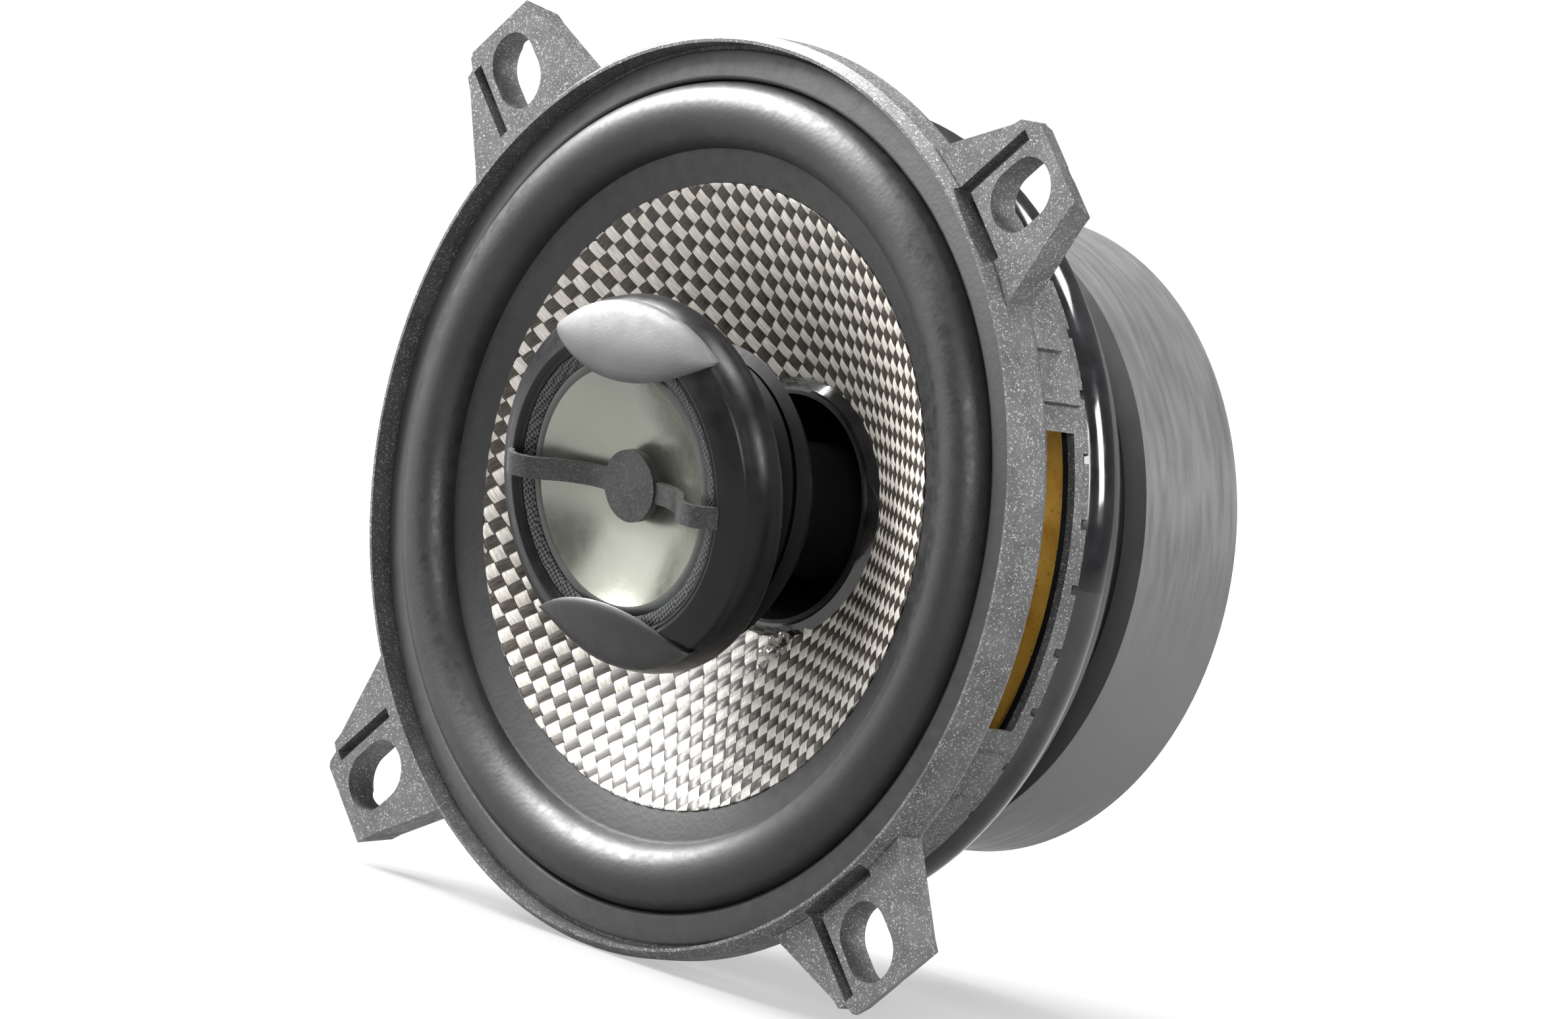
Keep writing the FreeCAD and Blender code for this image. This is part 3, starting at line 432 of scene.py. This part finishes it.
def woven_cone():
    """Plain-weave cloth: every visible float of every tow is its own arched patch."""
    pitch = 1.5
    along, across = 7, 5
    half_long, half_wide = pitch * 0.66, pitch * 0.455
    arch, bulge, sink = 0.20, 0.07, 0.05
    inner, outer, spare = 14.35, 34.6, 0.9
    reach = int(outer / pitch) + 2
    diagonal = math.sqrt(0.5)
    verts, faces = [], []
    values = {"tow_dark": [], "tow_shade": [], "tow_across": [], "tow_along": []}
    for i in range(-reach, reach + 1):
        for j in range(-reach, reach + 1):
            u0, v0 = (i + 0.5) * pitch, (j + 0.5) * pitch
            middle = math.hypot(u0, v0)
            if not inner - spare < middle < outer + spare:
                continue
            dark = (i + j) % 2 == 0
            shade = random.random()
            lean = random.uniform(-0.06, 0.06)
            first = len(verts)
            for a in range(along):
                s = 2 * a / (along - 1) - 1
                for b in range(across):
                    t = 2 * b / (across - 1) - 1
                    du, dv = s * half_long, t * half_wide + lean * s
                    if not dark:
                        du, dv = dv, du
                    u, v = u0 + du, v0 + dv
                    x, z = (u - v) * diagonal, (u + v) * diagonal
                    r = math.hypot(x, z)
                    fit = min(outer, max(inner, r)) / r
                    x, z, r = x * fit, z * fit, r * fit
                    lift = arch * math.cos(s * 1.45) + bulge * (1 - t * t) - sink
                    y = cone_depth(r) - lift
                    verts.append((x, y, z))
                    values["tow_dark"].append(1.0 if dark else 0.0)
                    values["tow_shade"].append(shade)
                    values["tow_across"].append(t * half_wide + 0.01 * i)
                    values["tow_along"].append(s * half_long)
            for a in range(along - 1):
                for b in range(across - 1):
                    k = first + a * across + b
                    faces.append((k, k + 1, k + across + 1, k + across))
    piece = add_mesh("woven_cone_tows", verts, faces, tow_material(), WOOFER, sharp=180)
    for key, numbers in values.items():
        piece.data.attributes.new(key, "FLOAT", "POINT").data.foreach_set("value", numbers)
    backing = rubber("cone_resin", 0.02, 0.4)
    back = lathe("woven_cone_backing", profile(
        (37.8, -1.7), (34.3, -1.7), (14.0, 12.2, 24.2, 4.8, 24), (13.05, 12.2), (13.05, 13.8),
        (14.2, 13.4), (34.2, -0.9, 24.0, 5.9, 24), (37.8, -0.9)), backing, WOOFER)
    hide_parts("woven_cone")


def surround():
    """Half-roll edge of the cone, and the gasket ring with its sloped top."""
    skin = rubber("surround_skin", 0.008, 0.45, 1700.0, 0.38, 0.6)
    roll = lathe("surround_roll", profile(
        (49.3, -2.72), (47.2, -2.72), (46.1, -2.74), (45.7, -3.0, 45.95, -2.8, 3),
        (38.3, -3.1, 42.0, -6.45, 26), (37.7, -2.92, 38.0, -2.98, 3), (34.6, -1.9),
        (34.3, -1.76, 34.4, -1.82, 3), (34.3, -1.72), (38.3, -1.95),
        (45.6, -2.3, 42.0, -6.0, 20), (49.3, -2.3)), skin, None)
    radial_blend(roll)
    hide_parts("rubber_surround")
    felt = rubber("gasket_skin", 0.013, 0.54, 1900.0, 0.42, 1.0)
    gasket = lathe("gasket_ring", profile(
        (46.2, -2.72), (45.9, -3.2, 45.92, -2.95, 3), (46.4, -3.68, 46.05, -3.55, 4),
        (49.0, -3.05), (49.3, -2.9, 49.2, -2.98, 3), (49.3, -2.72)), felt, CHASSIS)
    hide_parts("front_gasket")


def spider():
    """Corrugated cloth from the coil former to its landing ring."""
    depth, thickness, swing = 14.8, 0.45, 0.9
    rolls, first, last = 7, 16.0, 34.6
    pitch = (last - first) / rolls
    points = [(13.12, depth), (first, depth)]
    for i in range(rolls):
        x0 = first + i * pitch
        crest = depth + (swing if i % 2 else -swing)
        points += arc((x0, depth), (x0 + pitch, depth), (x0 + pitch / 2, crest), 8)
    points.append((39.2, depth))
    back = [(r, y + thickness) for r, y in reversed(points)]
    piece = lathe("spider_cloth", points + back, cloth_amber("spider_weave"), None, segments=128)
    radial_blend(piece)
    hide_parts("spider")


# ---------------------------------------------------------------- tweeter
def tweeter():
    shell = plastic("bezel_satin", (0.006, 0.006, 0.007), 0.33, 0.0, 2600.0, 0.22, specular=0.28)
    body = lathe("bezel_shell", profile(
        (15.2, 5.0), (20.2, 5.0), (20.78, 3.6, 20.65, 4.6, 5), (19.94, 0.5, 20.6, 1.9, 8),
        (19.3, -0.15, 19.75, 0.12, 4), (16.95, -1.34, 18.2, -0.83, 8), (16.55, -1.3, 16.75, -1.4, 3),
        (16.25, -1.05), (16.1, -1.12), (15.7, -0.85), (15.7, -0.3), (15.2, -0.3)),
        shell, CAPSULE, tilted=True)
    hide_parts("tweeter_bezel")
    mesh = Shader("fine_mesh")
    grid = mesh.node("ShaderNodeTexChecker")
    grid.inputs["Scale"].default_value = 3000
    mesh.link(mesh.coords, grid.inputs["Vector"])
    mesh.color(mesh.mix(grid.outputs["Fac"], (0.003, 0.003, 0.003), (0.075, 0.077, 0.08)))
    mesh.set("Metallic", 0.5)
    mesh.set("Roughness", 0.38)
    mesh.bump(grid.outputs["Fac"], 0.5, 0.05)
    annulus = lathe("suspension_mesh", profile(
        (15.6, -0.80), (14.15, -0.42, 14.9, -0.72, 4), (14.15, -0.15), (15.6, -0.5)),
        mesh.material, None, tilted=True)
    blend_ring(annulus)
    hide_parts("tweeter_mesh_suspension")
    pale = plastic("ring_pale", (0.05, 0.055, 0.05), 0.35, 0.2)
    ring = lathe("dome_ring", profile(
        (13.1, 0.1), (13.1, -0.36), (13.3, -0.46), (13.9, -0.46), (14.1, -0.36), (14.1, 0.1)),
        pale, DOME, tilted=True)
    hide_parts("dome_clamp_ring")
    film = Shader("dome_film")
    cloud = film.span(film.noise(55, 3), 0.3, 0.7)
    film.color(film.mix(cloud, (0.27, 0.275, 0.235), (0.33, 0.335, 0.29)))
    film.set("Metallic", 0.85)
    film.rough(film.span(film.noise(800, 3), 0.3, 0.7, 0.23, 0.29))
    film.bump(film.noise(1500, 3), 0.03, 0.01)
    dome = lathe("dome_cap", profile(
        (0, 3.4), (1.2, 3.38), (13.08, -0.35, 7.0, 2.43, 20),
        (13.08, 0.0), (1.2, 3.73, 7.0, 2.78, 20), (0, 3.75)),
        film.material, DOME, tilted=True)
    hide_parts("inverted_dome")
    satin = plastic("visor_satin", (0.080, 0.080, 0.082), 0.55, 0.3, 3200.0, 0.5)
    visor("visor_upper", 1, "upper_visor", 12.1, 20.4, 3.3, satin)
    # Same plastic as the upper visor, painted darker: painted shade for the hood that faces down.
    dark = plastic("visor_painted_shade", (0.03, 0.03, 0.031), 0.42, 0.4, 2600.0, 0.30)
    visor("visor_lower", -1, "lower_visor", 12.6, 20.1, 3.0, dark)


def visor(name, side, node, middle, outer, lift, material):
    """Lens-shaped hood: spoon surface from the shoulder up to a lipped inner edge."""
    half, sweep, steps = 12.5, 23.6, 48
    verts, faces = [], []
    for k in range(steps + 1):
        u = half * math.sin((k / steps - 0.5) * math.pi)
        near = middle + sweep - math.sqrt(sweep * sweep - u * u)
        far = math.sqrt(outer * outer - u * u)
        crown = math.sqrt(max(0.0, 1 - (u / half) ** 2))
        edge = -0.75 + 0.35 * crown
        top = -0.45 + lift * crown ** 1.1
        section = [(0.0, edge - 0.9), (0.0, edge - 0.1), (0.02, edge)]
        for t in (0.08, 0.16, 0.26, 0.38, 0.5, 0.62, 0.74, 0.84, 0.91):
            rise = math.sin(0.5 * math.pi * t / 0.91) ** 0.85
            section.append((t, edge + (top - edge) * rise))
        section += [(0.935, top - 0.05), (0.985, top - 0.22), (1.0, top - 0.34), (0.985, top - 0.52)]
        section += [(0.9, top - 0.62), (0.7, top - 0.85), (0.45, min(1.0, top - 0.9)), (0.2, edge - 0.9)]
        rows = len(section)
        for t, height in section:
            verts.append((u, -height, side * (far + (near - far) * t)))
    for k in range(steps):
        for j in range(rows):
            a, b = k * rows + j, k * rows + (j + 1) % rows
            faces.append((a, b, b + rows, a + rows))
    faces.append(tuple(range(rows)))
    faces.append(tuple(range(steps * rows, (steps + 1) * rows)))
    piece = add_mesh(name, verts, faces, material, CAPSULE, TILT, sharp=50)
    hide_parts(node)


def glue_lumps():
    """Clear adhesive over the lead eyelets at the foot of the cone."""
    m = Shader("clear_adhesive")
    m.color(m.mix(m.span(m.noise(700, 3), 0.35, 0.7), (0.03, 0.028, 0.024), (0.55, 0.52, 0.46)))
    m.set("Roughness", 0.10)
    m.set("Coat Weight", 1.0)
    m.set("Coat Roughness", 0.04)
    m.bump(m.noise(900, 3), 0.6, 0.15)
    lumps = (  # degrees round the axis, radius from it, size
        (-76, 16.6, 1.15), (-79.5, 15.4, 0.9), (-72.5, 15.2, 0.85), (-77, 17.9, 0.6), (-70.5, 16.3, 0.55),
        (-75, 14.6, 0.8), (-82, 16.4, 0.5), (-61, 14.3, 0.55), (-58.5, 13.9, 0.45), (-124, 16.3, 1.2))
    rings, around, flat = 8, 14, 0.55
    verts, faces = [], []
    for angle, r, size in lumps:
        a = math.radians(angle)
        spot = Vector((r * math.cos(a), cone_depth(max(r, 14.2)) - 0.25, r * math.sin(a)))
        first = len(verts)
        for i in range(rings + 1):
            for j in range(around):
                polar, turn = math.pi * i / rings, math.tau * j / around
                lobes = 0.18 * math.sin(3 * turn + angle) * math.sin(polar)
                knob = size * (1 + lobes + 0.1 * math.cos(4 * polar))
                way = Vector((math.sin(polar) * math.cos(turn), flat * math.cos(polar),
                              math.sin(polar) * math.sin(turn)))
                verts.append(tuple(spot + knob * way))
        for i in range(rings):
            for j in range(around):
                a0, b0 = first + i * around + j, first + i * around + (j + 1) % around
                faces.append((a0, b0, b0 + around, a0 + around))
    piece = add_mesh("lead_adhesive", verts, faces, m.material, WOOFER, sharp=180)
    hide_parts("lead_glue_dots")


def blend_ring(piece):
    """Bakes the mesh ring's placement into its mesh."""
    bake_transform(piece)


# ---------------------------------------------------------------- carried-over CAD nodes
def dress(material, *names):
    """Gives CAD nodes that stay a better material."""
    for name in names:
        mesh = NODES[name].data
        mesh.materials.clear()
        mesh.materials.append(material)


def dress_frame():
    dress(metallic_paint("frame_paint"), "front_basket")
    dress(gloss_black("pan_paint"), "rear_chassis_pan")
    dress(turned_metal("magnet_ground", 0.17, 0.42, 0.5, (0.35, 3.0, 0.35), 0.10), "ferrite_magnet")
    # Near-black on both parts; on the spider landing ring this is painted shade of the hollow behind the
    # spider.
    dress(turned_metal("plate_black", 0.014, 0.42, 0.4), "front_pole_plate", "spider_landing_ring")
    dress(turned_metal("plate_grey", 0.26, 0.36, 0.9), "back_plate_and_pole", "tweeter_yoke_cup",
          "tweeter_pole_disc", "swivel_clamp_washer")
    dress(turned_metal("bright_steel", 0.55, 0.28, 1.0), "chassis_rivets", "centre_bolt", "centre_nut",
          "tweeter_magnet")
    dress(plastic("post_black", (0.006, 0.006, 0.006), 0.5, specular=0.15),
          "tweeter_post", "tweeter_socket", "tweeter_chassis_ring")
    dress(plastic("nylon", (0.006, 0.006, 0.006), 0.55, specular=0.15), "swivel_liner")
    dress(plastic("ball_satin", (0.008, 0.008, 0.008), 0.5, specular=0.2), "tweeter_ball_housing")
    dress(metallic_paint("bridge_blast", 0.035, 0.09, 0.3, 0.36, 7000.0), "phase_bridge")
    dress(turned_metal("copper", 0.3, 0.3), "voice_coil_winding", "tweeter_voice_coil")
    dress(plastic("former_dark", (0.02, 0.02, 0.022), 0.3, 0.5), "voice_coil_former")
    dress(plastic("board_brown", (0.16, 0.08, 0.035), 0.6), "terminal_board")
    dress(turned_metal("tin", 0.6, 0.3), "positive_terminal", "negative_terminal")
    dress(plastic("wire_red", (0.35, 0.02, 0.02), 0.4), "tweeter_wire_positive", "capacitor_lead")
    dress(plastic("wire_black", (0.015, 0.015, 0.015), 0.4), "tweeter_wire_negative")
    dress(plastic("sleeve_blue", (0.02, 0.035, 0.11), 0.25), "crossover_capacitor")
    # The neck glue is coloured near-black as painted shade of the deep throat round the tweeter post.
    glue = Shader("neck_glue_painted_shade")
    cloud = glue.span(glue.noise(400, 3), 0.4, 0.7)
    glue.color(glue.mix(cloud, (0.004, 0.004, 0.004), (0.015, 0.014, 0.013)))
    glue.set("Roughness", 0.12)
    glue.set("Coat Weight", 0.8)
    glue.bump(glue.noise(500, 2), 0.3, 0.1)
    dress(glue.material, "neck_glue_ring")
    dress(turned_metal("braid", 0.4, 0.4), "tinsel_lead_positive", "tinsel_lead_negative")


camera()
studio()
dress_frame()
surround()
woven_cone()
spider()
tweeter()
glue_lumps()
